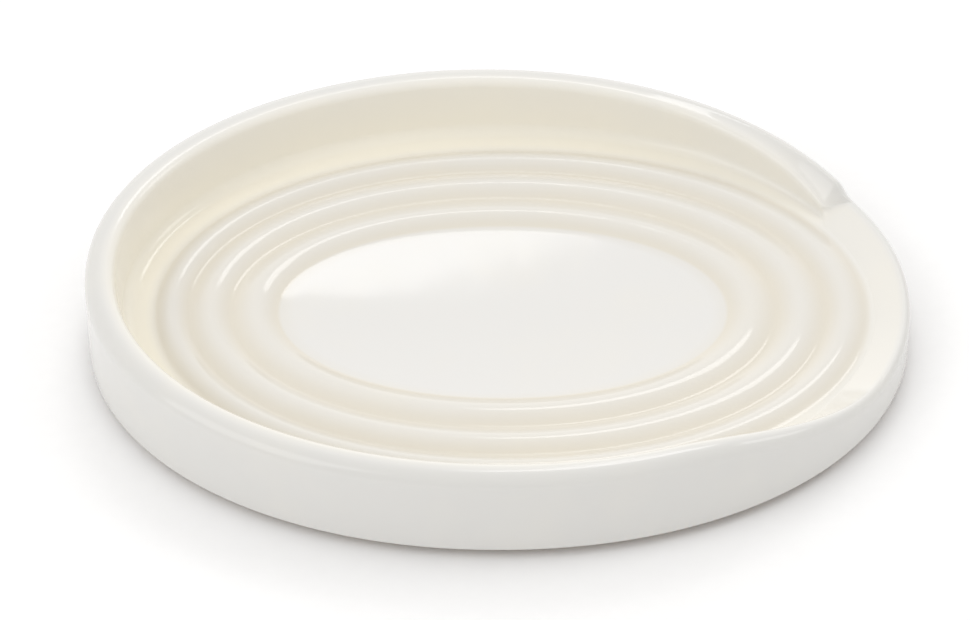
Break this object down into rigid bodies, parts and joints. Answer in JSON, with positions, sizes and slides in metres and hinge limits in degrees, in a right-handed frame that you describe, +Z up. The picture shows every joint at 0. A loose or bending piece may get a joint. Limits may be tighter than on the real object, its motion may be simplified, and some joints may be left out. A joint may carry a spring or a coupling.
{
  "type": "spoon rest",
  "caption": "Oval glazed stoneware spoon rest: a ringed well inside a wall that winds round it, tapers to a nose and steps down to a low lip for the spoon's handle.",
  "frame": {"origin": "on the table under the middle of the oval, at the foot ring's lower face", "axes": "+X along the length towards the low lip, +Y across the width towards the nose, +Z up"},
  "size_m": [0.1499, 0.111, 0.0194],
  "materials": {
    "bare_stoneware": "unglazed fired clay, ground smooth on the foot ring",
    "cream_glaze": "glossy off-white glaze, creamier where it pools against the wall and between the rings",
    "base_cream_glaze": "glossy off-white glaze under the base, inside the foot ring"
  },
  "bodies": {
    "root": {"stoneware_body": "bare_stoneware", "glaze_coat": "cream_glaze", "base_glaze": "base_cream_glaze"}
  },
  "joints": []
}
